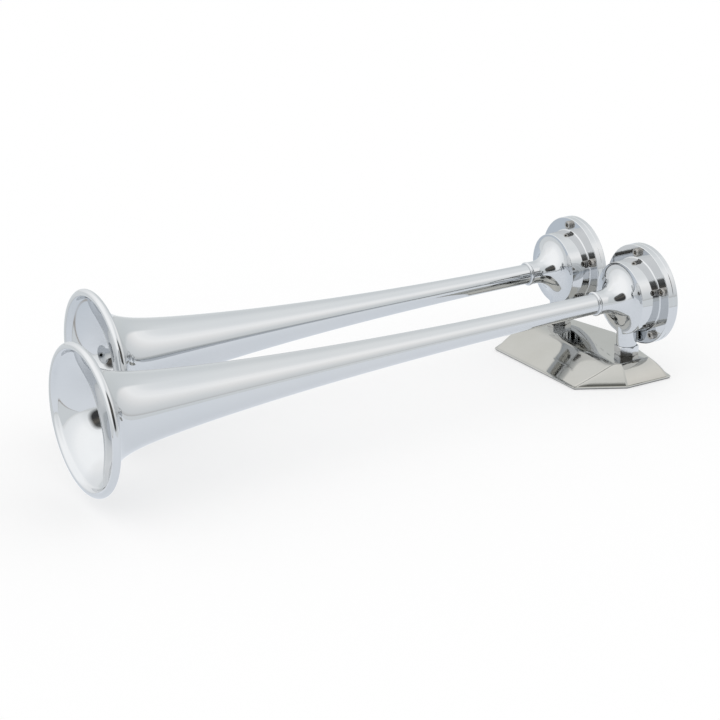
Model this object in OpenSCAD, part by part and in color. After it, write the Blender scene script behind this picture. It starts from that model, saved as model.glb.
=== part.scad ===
// Twin-trumpet air horn for a truck roof: two chrome trumpets of unlike length, each screwed
// to a round sound chamber that stands on a hollow post above one shared polished base cover.
// Millimetres, +Z up. The trumpets point along -Y, the long one stands at +X, and the origin
// lies on the underside of the base, midway between the two posts.

/* [Trumpets] */
// distance between the two post axes
horn_spacing = 115; // [106:1:140]
// angle by which each trumpet points outward from straight ahead
toe_out = 0.68; // [0:0.01:2]
// flange face to the rim of the long trumpet
long_reach = 598; // [450:1:700]
// flange face to the rim of the short trumpet
short_reach = 530; // [400:1:650]
// length of the spun bell, from its rim back to the tube that it is brazed to
bell_length = 150; // [110:1:250]
// outer radius of the bell over its rolled rim
bell_radius = 69.2; // [64:0.1:80]
// radius of the rolled rim's round section
rim_bead = 3.75; // [2.5:0.05:5]
// outer radius of the tube where it enters the chamber neck
throat_radius = 10; // [9:0.1:10.8]
// thickness of the trumpet wall
trumpet_wall = 1.2; // [0.8:0.1:2]
// radius gained along the whole tube
tube_gain = 18.7; // [12:0.1:22]
// how late that gain comes, 1 being a straight cone
tube_curve = 2; // [1.2:0.05:3]
// radius gained over the slow part of the bell
slow_gain = 11.4; // [6:0.1:15]
// length over which the slow part fades
slow_length = 117; // [80:1:150]
// length over which the sharp part at the rim fades
sharp_length = 14; // [10:0.5:20]

/* [Sound chamber] */
// radius of the chamber wall at its front edge
chamber_radius = 36; // [34:0.1:37]
// length of the chamber wall in front of the flange
chamber_length = 21.2; // [20:0.1:26]
// extra radius of that wall at the flange
wall_draft = 0.6; // [0:0.1:1.5]
// thickness of the chamber wall
chamber_wall = 3.5; // [2.5:0.1:4.5]
// flat land between the hollow front and the front edge
front_land = 0.5; // [0.2:0.1:2]
// outer radius of the neck that grips the tube
neck_radius = 11.5; // [11.2:0.1:13]
// straight length of that neck
neck_length = 5.8; // [3:0.1:12]
// radius of the ring's round section at the neck joint
ring_bead = 1.6; // [1:0.1:2.5]
// outer radius of that ring
ring_radius = 12.2; // [12:0.1:14]
// fillet where the wall meets the flange
root_fillet = 1.5; // [0.5:0.1:2]
// radius of the flange and of the back cover
flange_radius = 50; // [49.2:0.1:60]
// thickness of the flange
flange_thickness = 6; // [5:0.1:9]
// thickness of the back cover
cover_thickness = 5.8; // [5.4:0.1:9]
// bevel on the outer edges of the flange and the cover
edge_bevel = 0.8; // [0.3:0.1:1.5]

/* [Diaphragm stack] */
// radius of the seal and the diaphragm
diaphragm_radius = 39; // [38:0.1:39.6]
// thickness of the diaphragm
diaphragm_thickness = 0.5; // [0.3:0.05:0.8]
// thickness of the seal ring
seal_thickness = 1; // [0.6:0.1:1.2]
// width of the seal ring
seal_width = 5.8; // [4:0.1:7]
// depth of the recess that holds the stack
recess_depth = 2; // [1.8:0.1:2.6]
// depth of the hollow behind the diaphragm
back_hollow = 3; // [1:0.1:3.5]
// wall of the nozzle that the diaphragm rests on
nozzle_wall = 3.2; // [2:0.1:4]
// how far the nozzle and the tube meet in front of the flange face
tube_stop = 26; // [20:0.5:32]

/* [Cover screws] */
// number of cap screws round each flange
screw_count = 5; // [4:1:8]
// radius of the circle that they stand on
screw_circle = 43.4; // [43.2:0.1:44.4]
// radius of the screw shank
screw_radius = 2.5; // [2:0.1:2.6]
// radius of the cap head
head_radius = 4.25; // [3.8:0.05:4.6]
// height of the cap head
head_height = 3.8; // [3:0.1:6]
// length of the shank
screw_length = 10; // [8:0.5:10.5]
// size of the hexagon socket across its flats
socket_flats = 4; // [2.5:0.5:5]
// depth of that socket
socket_depth = 2.5; // [1:0.1:2.8]

/* [Post and studs] */
// distance of the post axis in front of the flange face
post_ahead = 12; // [10:0.1:14]
// radius of the post under the chamber
post_radius = 10; // [9.6:0.1:11]
// outer radius of the hollow stud
stud_radius = 7; // [6:0.1:7.4]
// radius of the air way through the stud
air_bore = 3; // [2:0.1:4]
// radius of the threaded inlet at the stud's lower end
inlet_radius = 4.4; // [4.1:0.1:5]
// depth of that inlet
inlet_depth = 9; // [6:0.5:12]
// length of stud below the underside of the base
stud_drop = 14; // [12:0.5:40]
// how far below the underside the stud's relief groove begins
relief_below = 1; // [0.5:0.1:2]
// width of that groove, which parts the lower thread from the upper one
relief_width = 5; // [2:0.5:6]
// depth of that groove
relief_depth = 1; // [0.5:0.1:1.5]
// height of the stud's end below the trumpet axis
stud_top_drop = 36; // [34:0.5:42]
// size of the nuts across their flats
nut_flats = 21; // [20:0.1:24]
// height of the nut between post and base
nut_height = 9.5; // [8:0.1:12]
// turn of that nut about its stud
nut_turn = -6; // [-30:1:30]
// how far the flange's edge stays above the top of that nut
flange_above_nut = 0.2; // [0.1:0.1:10]
// height of the lock nut inside the base
lock_nut_height = 6; // [4:0.1:7]
// outer radius of the washer inside the base
washer_radius = 12.4; // [11:0.1:12.8]
// thickness of that washer
washer_thickness = 2; // [1:0.1:2.5]

/* [Base] */
// height of the top of the base cover
base_height = 20; // [17:0.1:24]
// thickness of the cover sheet
sheet = 1.5; // [0.8:0.1:2]
// width of the flat lip round the foot of the cover
base_lip = 1.8; // [0.5:0.1:4]
// width of the front edge
front_width = 139.4; // [120:0.1:160]
// greatest width of the base
base_width = 193; // [185:0.5:220]
// distance of the front edge ahead of the posts
front_ahead = 72.8; // [66:0.1:90]
// distance ahead of the posts at which the sides turn inward
side_ahead = 27; // [15:0.5:40]
// distance behind the posts at which the sides end
side_behind = 26.4; // [22:0.1:40]
// distance of the rear corner behind the posts
rear_behind = 46; // [42:0.5:60]
// run of the front face from lip to flat top
front_run = 43.7; // [30:0.1:46]
// run of the side and rear faces
side_run = 17.6; // [12:0.1:19]
// angle through which the front face bends
front_bend = 4; // [2:1:20]
// angle through which the side faces bend
side_bend = 22; // [8:1:30]
// thickness of the rubber gasket
gasket_thickness = 1; // [0.8:0.1:3]
// how far the gasket stays inside the lip
gasket_inset = 1.2; // [0.2:0.1:3]
// length of the backing plate inside the base
plate_length = 140; // [134:1:144]
// width of the backing plate
plate_width = 25; // [20:0.5:26]
// thickness of the backing plate
plate_thickness = 3; // [2:0.1:4]
// corner radius of the backing plate
plate_corner = 5; // [2:0.5:8]

/* [Fits] */
// gap per side round a thread or a pressed tube
thread_fit = 0.05; // [0.02:0.01:0.1]
// gap per side round a shank, stud or disc that passes freely
free_fit = 0.3; // [0.2:0.05:0.4]

/* [Hidden] */
$fn = 96;

// small overlap for a cut that must run clean through
cut = 1;
// steps of the arcs and curves in the outlines
arc_steps = 12;
fillet_steps = 6;
curve_steps = 44;
bend_steps = 8;
// power that crowds the steps of a trumpet's curve toward its rim
curve_crowding = 2.4;
// distance over which the slope of that curve is taken
slope_step = 0.01;
// how far the post runs up into the chamber wall
post_sunk = 2;

// stations along a trumpet axis, measured ahead of the flange face
cove_radius = chamber_radius - front_land - neck_radius;
cove_station = chamber_length + cove_radius;
neck_end = cove_station + neck_length;
ring_station = neck_end + ring_bead;
recess_station = recess_depth - flange_thickness;
seat_station = recess_station - seal_thickness;
clamp_station = seat_station - diaphragm_thickness;
cover_station = -flange_thickness;
back_station = cover_station - cover_thickness;

// radii of the chamber
bore_radius = throat_radius - trumpet_wall;
nozzle_radius = bore_radius + nozzle_wall;
cavity_radius = chamber_radius - chamber_wall;
recess_radius = diaphragm_radius + free_fit;
seal_inner = diaphragm_radius - seal_width;
cavity_front = chamber_length - chamber_wall - wall_draft;
sharp_gain = bell_radius - rim_bead - throat_radius - tube_gain - slow_gain;

// levels above the underside of the base
nut_level = base_height;
post_level = nut_level + nut_height;
lip_level = gasket_thickness + sheet;
plate_level = base_height - sheet - plate_thickness;
washer_level = plate_level - washer_thickness;
lock_level = washer_level - lock_nut_height;
// height of both trumpet axes
axis_height = post_level + flange_above_nut + flange_radius;

// corners of the base, anticlockwise from the front left
base_corners = [
  [-front_width / 2, -front_ahead],
  [front_width / 2, -front_ahead],
  [base_width / 2, -side_ahead],
  [base_width / 2, side_behind],
  [0, rear_behind],
  [-base_width / 2, side_behind],
  [-base_width / 2, -side_ahead]
];
base_sides = len(base_corners);

chrome = [0.84, 0.85, 0.88];
steel = [0.72, 0.72, 0.68];
dark_steel = [0.42, 0.42, 0.44];
brass = [0.8, 0.66, 0.36];
rubber = [0.08, 0.08, 0.08];

// points of an arc about a centre, from one angle to another
function arc(centre, radius, from, to, steps = arc_steps) =
  [for (i = [0 : steps]) let (a = from + (to - from) * i / steps)
    centre + radius * [cos(a), sin(a)]];

// outer radius of a trumpet at a distance back from the rim, and its slope
function horn_radius(back, tube) =
  throat_radius + tube_gain * pow(max(0, 1 - back / tube), tube_curve)
  + slow_gain * (exp(-back / slow_length) - exp(-tube / slow_length))
  + (sharp_gain + slow_gain * exp(-tube / slow_length)) * exp(-back / sharp_length);
function horn_slope(back, tube) =
  (horn_radius(back + slope_step, tube) - horn_radius(back, tube)) / slope_step;

// distances back from the rim, closer together where the bell flares
function curve_back(tube) =
  [for (i = [0 : curve_steps]) tube * pow(i / curve_steps, curve_crowding)];

// outer and inner points of a trumpet wall, as radius and station
function outer_points(reach, tube) =
  [for (back = curve_back(tube)) [horn_radius(back, tube), reach - back]];
function inner_points(reach, tube) =
  [for (back = curve_back(tube))
    let (slope = horn_slope(back, tube), stretch = sqrt(1 + slope * slope))
    [horn_radius(back, tube) - trumpet_wall / stretch,
     reach - back - trumpet_wall * slope / stretch]];

function reversed(list) = [for (i = [len(list) - 1 : -1 : 0]) list[i]];

// direction of one side of the base, and the corner where it meets the side before it
// when the two are moved inward by their own amounts
function side_angle(i) =
  let (p = base_corners[i], q = base_corners[(i + 1) % base_sides]) atan2(q.y - p.y, q.x - p.x);
function base_corner(i, before, after) =
  let (a = side_angle((i + base_sides - 1) % base_sides),
       b = side_angle(i),
       p = base_corners[i] + before * [-sin(a), cos(a)],
       q = base_corners[i] + after * [-sin(b), cos(b)],
       d = q - p)
  p + [cos(a), sin(a)] * (d.x * sin(b) - d.y * cos(b)) / sin(b - a);

// how far inward a bent face lies at a level: an arc from the lip up to the flat top
function face_inset(run, bend, inset, level) =
  let (rise = base_height - lip_level,
       width = run - base_lip,
       tilt = atan2(rise, width) - bend / 2,
       bow = sqrt(rise * rise + width * width) / 2 / sin(bend / 2),
       centre = [run, base_height] + bow * [sin(tilt), -cos(tilt)])
  centre.x - sqrt(pow(bow - inset, 2) - pow(level - centre.y, 2));

// outline of the base cover at a level, moved inward by the sheet for the hollow under it
function cover_outline(inset, level) =
  let (front = face_inset(front_run, front_bend, inset, level),
       side = face_inset(side_run, side_bend, inset, level))
  [for (i = [0 : base_sides - 1])
    base_corner(i, i == 1 ? front : side, i == 0 ? front : side)];
function at_level(outline, level) = [for (c = outline) [c.x, c.y, level]];
function plain_outline(inset) = [for (i = [0 : base_sides - 1]) base_corner(i, inset, inset)];

// puts a shape drawn round +Z onto the trumpet axis of one side
module on_horn(side) {
  translate([side * horn_spacing / 2, 0, axis_height])
    rotate([0, 0, side * toe_out])
      rotate([90, 0, 0])
        translate([0, 0, -post_ahead])
          children();
}

// puts a shape on the post axis of one side, at a level above the base's underside
module on_post(side, level) {
  translate([side * horn_spacing / 2, 0, level])
    children();
}

// puts copies on the screw circle, the first one at the top
module on_screw_circle() {
  for (i = [0 : screw_count - 1])
    rotate([0, 0, 90 + i * 360 / screw_count])
      translate([screw_circle, 0, 0])
        children();
}

// a round tube standing on its end
module round_tube(outer, inner, height) {
  difference() {
    cylinder(r = outer, h = height);
    translate([0, 0, -cut])
      cylinder(r = inner, h = height + 2 * cut);
  }
}

// a hexagon nut with its corners turned off at both ends
module hex_nut(height) {
  corner = nut_flats / 2 / cos(30);
  turn_off = (corner - nut_flats / 2) * tan(30);
  difference() {
    intersection() {
      cylinder(r = corner, h = height, $fn = 6);
      rotate_extrude()
        polygon([[0, 0], [nut_flats / 2, 0], [corner, turn_off],
                 [corner, height - turn_off], [nut_flats / 2, height], [0, height]]);
    }
    translate([0, 0, -cut])
      cylinder(r = stud_radius + thread_fit, h = height + 2 * cut);
  }
}

// outline of a trumpet's wall, from the plain tube end to the rolled rim
module trumpet_outline(reach) {
  tube = reach - ring_station;
  outer = outer_points(reach, tube);
  inner = inner_points(reach, tube);
  polygon(concat([[bore_radius, tube_stop], [throat_radius, tube_stop]],
                 reversed(outer), inner));
  translate([bell_radius - rim_bead, reach])
    circle(r = rim_bead, $fn = 40);
}

// spun bell with its rolled rim, brazed end to end onto the tube
module bell(reach) {
  rotate_extrude()
    intersection() {
      trumpet_outline(reach);
      translate([0, reach - bell_length])
        square([bell_radius + cut, bell_length + rim_bead + cut]);
    }
}

// tapered tube whose plain end enters the chamber neck
module tube(reach) {
  rotate_extrude()
    intersection() {
      trumpet_outline(reach);
      square([bell_radius, reach - bell_length]);
    }
}

// round ring that covers the joint between tube and neck
module neck_ring() {
  rotate_extrude()
    intersection() {
      translate([ring_radius - ring_bead, ring_station])
        circle(r = ring_bead, $fn = 32);
      translate([throat_radius + thread_fit, ring_station - ring_bead])
        square([ring_radius, 2 * ring_bead]);
    }
}

// outside of the chamber: neck, hollow cove, drafted wall, root fillet and flange
module chamber_body() {
  root = chamber_radius + wall_draft;
  rotate_extrude()
    polygon(concat(
      [[0, neck_end], [neck_radius, neck_end]],
      arc([chamber_radius - front_land, cove_station], cove_radius, 180, 270),
      [[chamber_radius, chamber_length]],
      arc([root + root_fillet, root_fillet], root_fillet, 180, 270, fillet_steps),
      [[flange_radius - edge_bevel, 0], [flange_radius, -edge_bevel],
       [flange_radius, cover_station], [0, cover_station]]));
}

// casting that joins neck, sound chamber, flange and post
module chamber() {
  difference() {
    union() {
      chamber_body();
      translate([0, post_sunk - chamber_radius, post_ahead])
        rotate([90, 0, 0])
          cylinder(r = post_radius, h = axis_height - post_level - chamber_radius + post_sunk);
    }
    // tube bore, nozzle bore and the recess of the diaphragm stack
    translate([0, 0, tube_stop])
      cylinder(r = throat_radius + thread_fit, h = neck_end);
    translate([0, 0, cover_station - cut])
      cylinder(r = nozzle_radius + thread_fit, h = tube_stop - cover_station + cut);
    translate([0, 0, cover_station - cut])
      cylinder(r = recess_radius, h = recess_depth + cut);
    // air chamber round the nozzle
    rotate_extrude()
      polygon(concat(
        [[0, cover_station], [cavity_radius, cover_station]],
        arc([cavity_radius - chamber_wall, cavity_front - chamber_wall], chamber_wall, 0, 90,
            fillet_steps),
        [[0, cavity_front]]));
    // stud thread, up into the air chamber
    translate([0, chamber_wall - cavity_radius, post_ahead])
      rotate([90, 0, 0])
        cylinder(r = stud_radius + thread_fit, h = axis_height);
    on_screw_circle()
      translate([0, 0, cover_station - cut])
        cylinder(r = screw_radius + free_fit, h = flange_thickness + 2 * cut, $fn = 32);
  }
}

// brass nozzle that carries the air from the diaphragm to the tube
module nozzle() {
  translate([0, 0, seat_station])
    round_tube(nozzle_radius, bore_radius, tube_stop - seat_station);
}

module seal_ring() {
  translate([0, 0, seat_station])
    round_tube(diaphragm_radius, seal_inner, seal_thickness);
}

module diaphragm() {
  translate([0, 0, clamp_station])
    cylinder(r = diaphragm_radius, h = diaphragm_thickness);
}

// round cover with a raised ring that clamps the stack and a shallow hollow behind it
module back_cover() {
  difference() {
    rotate_extrude()
      polygon([[0, clamp_station], [diaphragm_radius, clamp_station],
               [diaphragm_radius, cover_station], [flange_radius, cover_station],
               [flange_radius, back_station + 2 * edge_bevel],
               [flange_radius - 2 * edge_bevel, back_station], [0, back_station]]);
    translate([0, 0, clamp_station - back_hollow])
      cylinder(r = seal_inner, h = back_hollow + cut);
    on_screw_circle()
      translate([0, 0, -screw_length - free_fit])
        cylinder(r = screw_radius + thread_fit, h = screw_length, $fn = 32);
  }
}

module cap_screw() {
  difference() {
    union() {
      translate([0, 0, -screw_length])
        cylinder(r = screw_radius, h = screw_length + cut, $fn = 32);
      rotate_extrude($fn = 40)
        polygon([[0, 0], [head_radius, 0], [head_radius, head_height - head_radius / 12],
                 [head_radius * 11 / 12, head_height], [0, head_height]]);
    }
    translate([0, 0, head_height - socket_depth])
      cylinder(r = socket_flats / 2 / cos(30), h = socket_depth + cut, $fn = 6);
  }
}

module cover_screws() {
  on_screw_circle()
    cap_screw();
}

// hollow threaded stud: holds the chamber down and lets the air in
module inlet_stud() {
  length = axis_height - stud_top_drop + stud_drop;
  difference() {
    cylinder(r = stud_radius, h = length);
    translate([0, 0, -cut])
      cylinder(r = air_bore, h = length + 2 * cut, $fn = 48);
    translate([0, 0, -cut])
      cylinder(r = inlet_radius, h = inlet_depth + cut, $fn = 48);
    translate([0, 0, stud_drop - relief_below])
      round_tube(stud_radius + cut, stud_radius - relief_depth, relief_width);
  }
}

// solid whose outline changes from level to level
module loft(rings) {
  n = len(rings[0]);
  m = len(rings);
  polyhedron(
    points = [for (ring = rings) each ring],
    faces = concat(
      [[for (i = [0 : n - 1]) i]],
      [for (k = [0 : m - 2], i = [0 : n - 1])
        [(k + 1) * n + i, (k + 1) * n + (i + 1) % n, k * n + (i + 1) % n, k * n + i]],
      [[for (i = [n - 1 : -1 : 0]) (m - 1) * n + i]]));
}

// solid form of the base cover, or of the hollow under it when moved inward by the sheet
module base_form(inset) {
  top = base_height - inset;
  levels = [for (i = [0 : bend_steps]) lip_level + (top - lip_level) * i / bend_steps];
  foot = inset > 0
    ? [at_level(cover_outline(inset, lip_level), gasket_thickness - cut)]
    : [at_level(base_corners, gasket_thickness), at_level(base_corners, lip_level)];
  loft(concat(foot, [for (level = levels) at_level(cover_outline(inset, level), level)]));
}

module long_bell() {
  color(chrome) on_horn(1) bell(long_reach);
}

module long_tube() {
  color(chrome) on_horn(1) tube(long_reach);
}

module long_neck_ring() {
  color(chrome) on_horn(1) neck_ring();
}

module long_chamber() {
  color(chrome) on_horn(1) chamber();
}

module long_nozzle() {
  color(brass) on_horn(1) nozzle();
}

module long_seal_ring() {
  color(rubber) on_horn(1) seal_ring();
}

module long_diaphragm() {
  color(steel) on_horn(1) diaphragm();
}

module long_back_cover() {
  color(chrome) on_horn(1) back_cover();
}

module long_cover_screws() {
  color(dark_steel) on_horn(1) cover_screws();
}

module long_inlet_stud() {
  color(dark_steel) on_post(1, -stud_drop) inlet_stud();
}

module long_upper_nut() {
  color(chrome) on_post(1, nut_level) rotate([0, 0, nut_turn]) hex_nut(nut_height);
}

module long_washer() {
  color(steel) on_post(1, washer_level)
    round_tube(washer_radius, stud_radius + free_fit, washer_thickness);
}

module long_lock_nut() {
  color(steel) on_post(1, lock_level) hex_nut(lock_nut_height);
}

module short_bell() {
  color(chrome) on_horn(-1) bell(short_reach);
}

module short_tube() {
  color(chrome) on_horn(-1) tube(short_reach);
}

module short_neck_ring() {
  color(chrome) on_horn(-1) neck_ring();
}

module short_chamber() {
  color(chrome) on_horn(-1) chamber();
}

module short_nozzle() {
  color(brass) on_horn(-1) nozzle();
}

module short_seal_ring() {
  color(rubber) on_horn(-1) seal_ring();
}

module short_diaphragm() {
  color(steel) on_horn(-1) diaphragm();
}

module short_back_cover() {
  color(chrome) on_horn(-1) back_cover();
}

module short_cover_screws() {
  color(dark_steel) on_horn(-1) cover_screws();
}

module short_inlet_stud() {
  color(dark_steel) on_post(-1, -stud_drop) inlet_stud();
}

module short_upper_nut() {
  color(chrome) on_post(-1, nut_level) rotate([0, 0, nut_turn]) hex_nut(nut_height);
}

module short_washer() {
  color(steel) on_post(-1, washer_level)
    round_tube(washer_radius, stud_radius + free_fit, washer_thickness);
}

module short_lock_nut() {
  color(steel) on_post(-1, lock_level) hex_nut(lock_nut_height);
}

// bent sheet cover, open underneath, with one hole for each stud
module base_cover() {
  color(steel)
    difference() {
      base_form(0);
      base_form(sheet);
      for (side = [-1, 1])
        on_post(side, base_height - sheet - cut)
          cylinder(r = stud_radius + free_fit, h = sheet + 2 * cut);
    }
}

// flat bar that stiffens the cover between the two studs
module backing_plate() {
  x = plate_length / 2 - plate_corner;
  y = plate_width / 2 - plate_corner;
  color(dark_steel)
    translate([0, 0, plate_level])
      difference() {
        union() {
          translate([-x, -plate_width / 2, 0])
            cube([2 * x, plate_width, plate_thickness]);
          translate([-plate_length / 2, -y, 0])
            cube([plate_length, 2 * y, plate_thickness]);
          for (i = [-1, 1], j = [-1, 1])
            translate([i * x, j * y, 0])
              cylinder(r = plate_corner, h = plate_thickness, $fn = 48);
        }
        for (side = [-1, 1])
          on_post(side, -cut)
            cylinder(r = stud_radius + free_fit, h = plate_thickness + 2 * cut);
      }
}

// rubber sheet between the base and the roof
module base_gasket() {
  color(rubber)
    difference() {
      linear_extrude(height = gasket_thickness)
        polygon(plain_outline(gasket_inset));
      for (side = [-1, 1])
        on_post(side, -cut)
          cylinder(r = stud_radius + free_fit, h = gasket_thickness + 2 * cut);
    }
}

long_bell();
long_tube();
long_neck_ring();
long_chamber();
long_nozzle();
long_seal_ring();
long_diaphragm();
long_back_cover();
long_cover_screws();
long_inlet_stud();
long_upper_nut();
long_washer();
long_lock_nut();
short_bell();
short_tube();
short_neck_ring();
short_chamber();
short_nozzle();
short_seal_ring();
short_diaphragm();
short_back_cover();
short_cover_screws();
short_inlet_stud();
short_upper_nut();
short_washer();
short_lock_nut();
base_cover();
backing_plate();
base_gasket();
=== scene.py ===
import math

import bpy
from mathutils import Matrix, Vector

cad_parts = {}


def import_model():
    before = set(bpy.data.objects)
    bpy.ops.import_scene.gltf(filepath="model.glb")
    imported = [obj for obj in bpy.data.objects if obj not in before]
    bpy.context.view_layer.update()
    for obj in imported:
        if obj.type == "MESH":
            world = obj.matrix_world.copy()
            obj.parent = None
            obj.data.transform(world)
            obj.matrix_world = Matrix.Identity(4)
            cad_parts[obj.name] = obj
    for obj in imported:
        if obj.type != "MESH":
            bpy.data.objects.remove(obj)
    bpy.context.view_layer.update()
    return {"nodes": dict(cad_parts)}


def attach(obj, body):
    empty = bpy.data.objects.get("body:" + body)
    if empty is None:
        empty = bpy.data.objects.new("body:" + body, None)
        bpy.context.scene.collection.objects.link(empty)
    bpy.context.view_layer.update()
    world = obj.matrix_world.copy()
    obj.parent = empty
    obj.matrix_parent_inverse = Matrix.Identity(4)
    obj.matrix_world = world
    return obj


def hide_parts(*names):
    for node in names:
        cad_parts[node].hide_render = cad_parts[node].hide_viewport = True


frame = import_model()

# Sizes are written in millimetres times MM, as in the part's source.
MM = 0.001

# Trumpets
HORN_SPACING = 115 * MM
AXIS_HEIGHT = 79.7 * MM
TOE_OUT = math.radians(0.68)
REACH = {"long": 598 * MM, "short": 530 * MM}
SIDE = {"long": 1, "short": -1}
BELL_RADIUS = 69.2 * MM
RIM_BEAD = 3.75 * MM
# a fillet leaves the rim's bead at this angle, in degrees, and meets the inner wall at this
# distance from the bead
RIM_LEAVE = 153
RIM_BLEND = 2.2 * MM
# keeps the bead's facets inside the CAD's box
BEAD_CLEARANCE = 0.04 * MM
THROAT_RADIUS = 10 * MM
TRUMPET_WALL = 1.2 * MM
TUBE_GAIN = 18.7 * MM
TUBE_CURVE = 2
SLOW_GAIN = 11.4 * MM
SLOW_LENGTH = 117 * MM
SHARP_LENGTH = 14 * MM
SHARP_GAIN = BELL_RADIUS - RIM_BEAD - THROAT_RADIUS - TUBE_GAIN - SLOW_GAIN
TUBE_STOP = 26 * MM
TRUMPET_SEGMENTS = 224

# Sound chamber, with its front hollowed by a cove
CHAMBER_RADIUS = 36 * MM
CHAMBER_LENGTH = 21.2 * MM
WALL_DRAFT = 0.6 * MM
CHAMBER_WALL = 3.5 * MM
FRONT_LAND = 0.5 * MM
NECK_RADIUS = 11.5 * MM
NECK_LENGTH = 5.8 * MM
RING_BEAD = 1.6 * MM
RING_RADIUS = 12.2 * MM
ROOT_FILLET = 1.5 * MM
FLANGE_RADIUS = 50 * MM
FLANGE_THICKNESS = 6 * MM
COVER_THICKNESS = 5.8 * MM
DIAPHRAGM_RADIUS = 39 * MM
SEAL_WIDTH = 5.8 * MM
CLAMP_STATION = -5.5 * MM
CLAMP_DEPTH = 3 * MM
RECESS_GAP = 0.3 * MM
RECESS_DEPTH = 2 * MM
NOZZLE_WALL = 3.25 * MM
FREE_FIT = 0.05 * MM
SEAM_EDGE = 0.3 * MM
COVER_EDGE = 1.6 * MM
RING_SEGMENTS = 128
CHAMBER_SEGMENTS = 192
# radius left open on the axis of a revolved piece
PINHOLE = 0.01 * MM
COVE_RADIUS = CHAMBER_RADIUS - FRONT_LAND - NECK_RADIUS
COVE_STATION = CHAMBER_LENGTH + COVE_RADIUS
NECK_END = COVE_STATION + NECK_LENGTH
RING_STATION = NECK_END + RING_BEAD
ROOT_RADIUS = CHAMBER_RADIUS + WALL_DRAFT

# Cover screws
SCREW_COUNT = 5
SCREW_CIRCLE = 43.4 * MM
SCREW_RADIUS = 2.5 * MM
SCREW_LENGTH = 10 * MM
HEAD_RADIUS = 4.25 * MM
HEAD_HEIGHT = 3.8 * MM
SOCKET_FLATS = 4 * MM
SOCKET_DEPTH = 2.5 * MM

# Post, stud and nut
POST_AHEAD = 12 * MM
POST_RADIUS = 10 * MM
NUT_FLATS = 21 * MM
NUT_HEIGHT = 9.5 * MM
NUT_TURN = math.radians(-6)
STUD_RADIUS = 7 * MM
STUD_DROP = 14 * MM
STUD_TOP = AXIS_HEIGHT - 36 * MM
AIR_BORE = 3 * MM
INLET_RADIUS = 4.4 * MM
INLET_DEPTH = 9 * MM
RELIEF_START = 13 * MM
RELIEF_WIDTH = 5 * MM
RELIEF_DEPTH = 1 * MM
THREAD_PITCH = 1.5 * MM
THREAD_DEPTH = 0.8 * MM
THREAD_STEEPNESS = 1.25
NUT_CHAMFER = math.radians(30)
NUT_FACE_SHARE = 0.97
NUT_EDGE = 0.15 * MM

# Base
BASE_HEIGHT = 20 * MM
SHEET = 1.5 * MM
BASE_LIP = 1.8 * MM
FRONT_WIDTH = 139.4 * MM
BASE_WIDTH = 193 * MM
FRONT_AHEAD = 72.8 * MM
SIDE_AHEAD = 27 * MM
SIDE_BEHIND = 26.4 * MM
REAR_BEHIND = 46 * MM
FRONT_RUN = 43.7 * MM
SIDE_RUN = 17.6 * MM
FRONT_BEND = math.radians(4)
FRONT_BLEND = 30 * MM
SIDE_BLEND = 3 * MM
BASE_CORNER = 2.6 * MM
FOOT_CREASE = 6 * MM
TOP_CREASE = 3 * MM
SIDE_BEND = math.radians(22)
GASKET = 1 * MM
LIP_EDGE = 0.35 * MM
COVER_STEPS = 44
LIP_LEVEL = GASKET + SHEET
POST_LEVEL = BASE_HEIGHT + NUT_HEIGHT

# Camera, solved from the photograph: it looks down at 20 degrees from the long horn's side
CAMERA_AZIMUTH = math.radians(60.041)
CAMERA_ELEVATION = math.radians(20.101)
CAMERA_ROLL = math.radians(-1.4)
CAMERA_DISTANCE = 2224.286 * MM
CAMERA_ASIDE = -245.343 * MM
CAMERA_UP = -81.628 * MM
CAMERA_AIM = Vector((0, 12 * MM, AXIS_HEIGHT))
SENSOR = 36
# focal length as a share of the sensor's width
FOCAL_SHARE = 2198.72925 / 720

# Floor, and the table that only the metal sees: each edge is a direction and a distance from the
# origin, and painted shade darkens the table toward -X between two distances
FLOOR_LEVEL = -0.4 * MM
FLOOR_RADIUS = 3400 * MM
FLOOR_SEGMENTS = 96
TABLE_EDGES = (((-0.707, -0.707, 0), 565 * MM), ((0.866, 0.5, 0), 330 * MM))
EDGE_WIDTH = 9 * MM
EDGE_STEEPNESS = 300
SHADE_START = 40 * MM
SHADE_END = 300 * MM
TABLE_LIGHT = (0.77, 0.80, 0.845)
# colour of the painted shade on the mirrored table, reached at SHADE_END
TABLE_PAINTED_SHADE = (0.54, 0.59, 0.65)
GROUND = (0.70, 0.725, 0.74)
SEAM = (0.36, 0.33, 0.30)
WHITE = (1, 1, 1)

# How much of the floor glows by itself, and how much brighter mirrored rays see floor and studio
SHADOW_FILL = 0.55
MIRRORED_GAIN = 1.38
MIRRORED_GLOW = 1.48

# The tent's opening on the camera's side
OPENING_CENTRE = (900 * MM, -540 * MM, 470 * MM)
OPENING_WIDTH = 1220 * MM
OPENING_HEIGHT = 940 * MM
OPENING_SOFT_FROM = 0.78
OPENING_ROUNDNESS = 3

# Studio walls, as azimuths and elevations in degrees. Masks start at a cosine or sine and rise
# with a gain.
FRONT_AZIMUTH = -20
PANEL_AZIMUTH = 158
PANEL_SIDE = 0.777
PANEL_SIDE_GAIN = 14
PANEL_TOP = 0.84
PANEL_TOP_GAIN = 8
LEFT_AZIMUTH = -72
LEFT_SIDE = 0.88
LEFT_GAIN = 10
LEFT_SHADE = 0.09
LAMP = (-84, 66)
ROOF = (20, 66)
ROOF_SHARE = 0.5


def arc(centre, radius, start, end, steps):
    """Points of an arc, as (radius, station), from one angle in degrees to another."""
    points = []
    for i in range(steps + 1):
        a = math.radians(start + (end - start) * i / steps)
        points.append((centre[0] + radius * math.cos(a), centre[1] + radius * math.sin(a)))
    return points


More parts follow.
